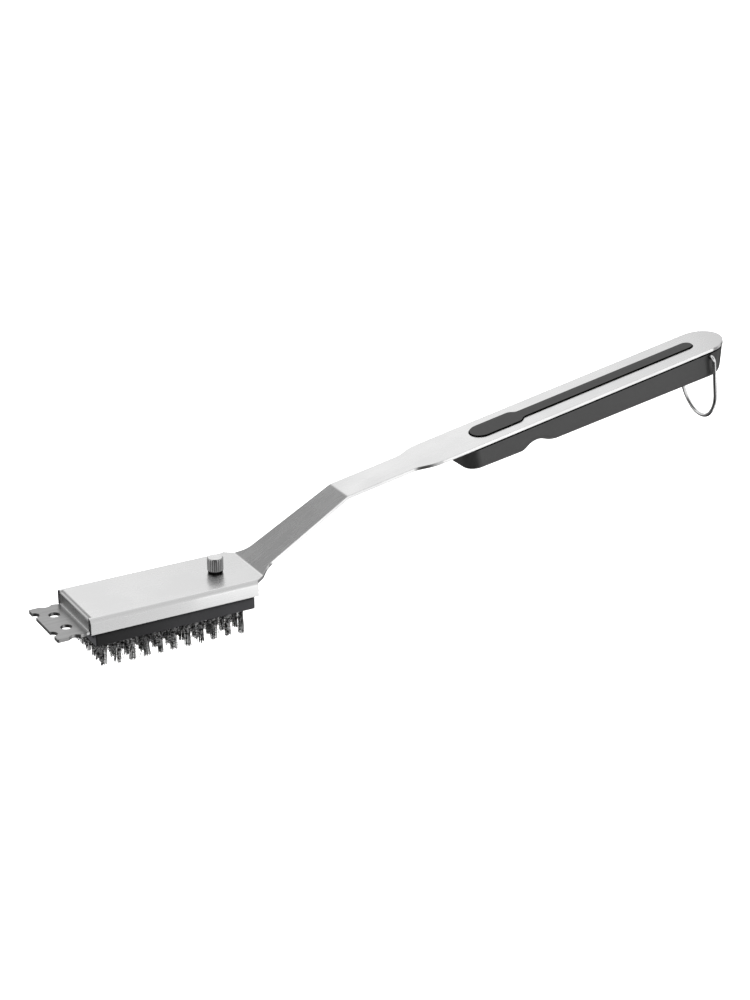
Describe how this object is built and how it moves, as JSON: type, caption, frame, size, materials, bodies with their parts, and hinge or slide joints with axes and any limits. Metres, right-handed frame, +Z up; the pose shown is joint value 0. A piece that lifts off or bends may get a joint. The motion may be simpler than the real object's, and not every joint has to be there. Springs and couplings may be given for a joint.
{
  "type": "grill cleaning brush",
  "caption": "Long-handled wire grill brush: folded steel head with a notched scraper, replaceable bristle block on a thumb screw, plastic grip and swinging wire hanging loop.",
  "frame": {"origin": "middle of the object's box in X and Y, on the plane that the bristle tips touch", "axes": "+X from the scraper towards the handle's end, +Y across the head, +Z up from the bristle tips to the head plate"},
  "size_m": [0.4522, 0.047, 0.1154],
  "materials": {
    "brushed_stainless": "brushed",
    "grip_plastic": "fine matte texture",
    "inlay_plastic": "soft matte",
    "block_plastic": "moulded",
    "bristle_wire": "crimped wire",
    "staple_wire": "drawn wire",
    "loop_wire": "polished drawn wire",
    "thumb_screw_metal": "knurled, satin",
    "zinc_screw": "zinc plated",
    "insert_brass": "machined",
    "black_washer": "matte"
  },
  "bodies": {
    "frame": {"handle_frame": "brushed_stainless", "grip_shell": "grip_plastic", "grip_inlay": "inlay_plastic", "grip_screws": "zinc_screw"},
    "loop": {"hanging_loop": "loop_wire"},
    "washer": {"screw_washer": "black_washer"},
    "screw": {"thumb_screw": "thumb_screw_metal"},
    "brush_head": {"brush_block": "block_plastic", "threaded_insert": "insert_brass", "tuft_row_1": "bristle_wire", "staple_row_1": "staple_wire", "tuft_row_2": "bristle_wire", "staple_row_2": "staple_wire", "tuft_row_3": "bristle_wire", "staple_row_3": "staple_wire", "tuft_row_4": "bristle_wire", "staple_row_4": "staple_wire", "tuft_row_5": "bristle_wire", "staple_row_5": "staple_wire", "tuft_row_6": "bristle_wire", "staple_row_6": "staple_wire"}
  },
  "joints": [
    {"name": "loop_swing", "type": "hinge", "parent": "frame", "child": "loop", "pos_m": [0.20939, 0, 0.10784], "axis": [0, 1, 0], "range_deg": [-252, 60]},
    {"name": "screw_lift", "type": "slide", "parent": "frame", "child": "washer", "axis": [0, 0, 1], "range_m": [0, 0.008]},
    {"name": "screw_turn", "type": "hinge", "parent": "washer", "child": "screw", "pos_m": [-0.12215, 0, 0.0325], "axis": [0, 0, 1], "range_deg": [0, 3601]},
    {"name": "block_release", "type": "slide", "parent": "frame", "child": "brush_head", "axis": [0, 0, -1], "range_m": [0, 0.03]}
  ],
  "couplings": [
    {"joint": "screw_turn", "follows": "screw_lift", "rad_per_m": 7854}
  ]
}
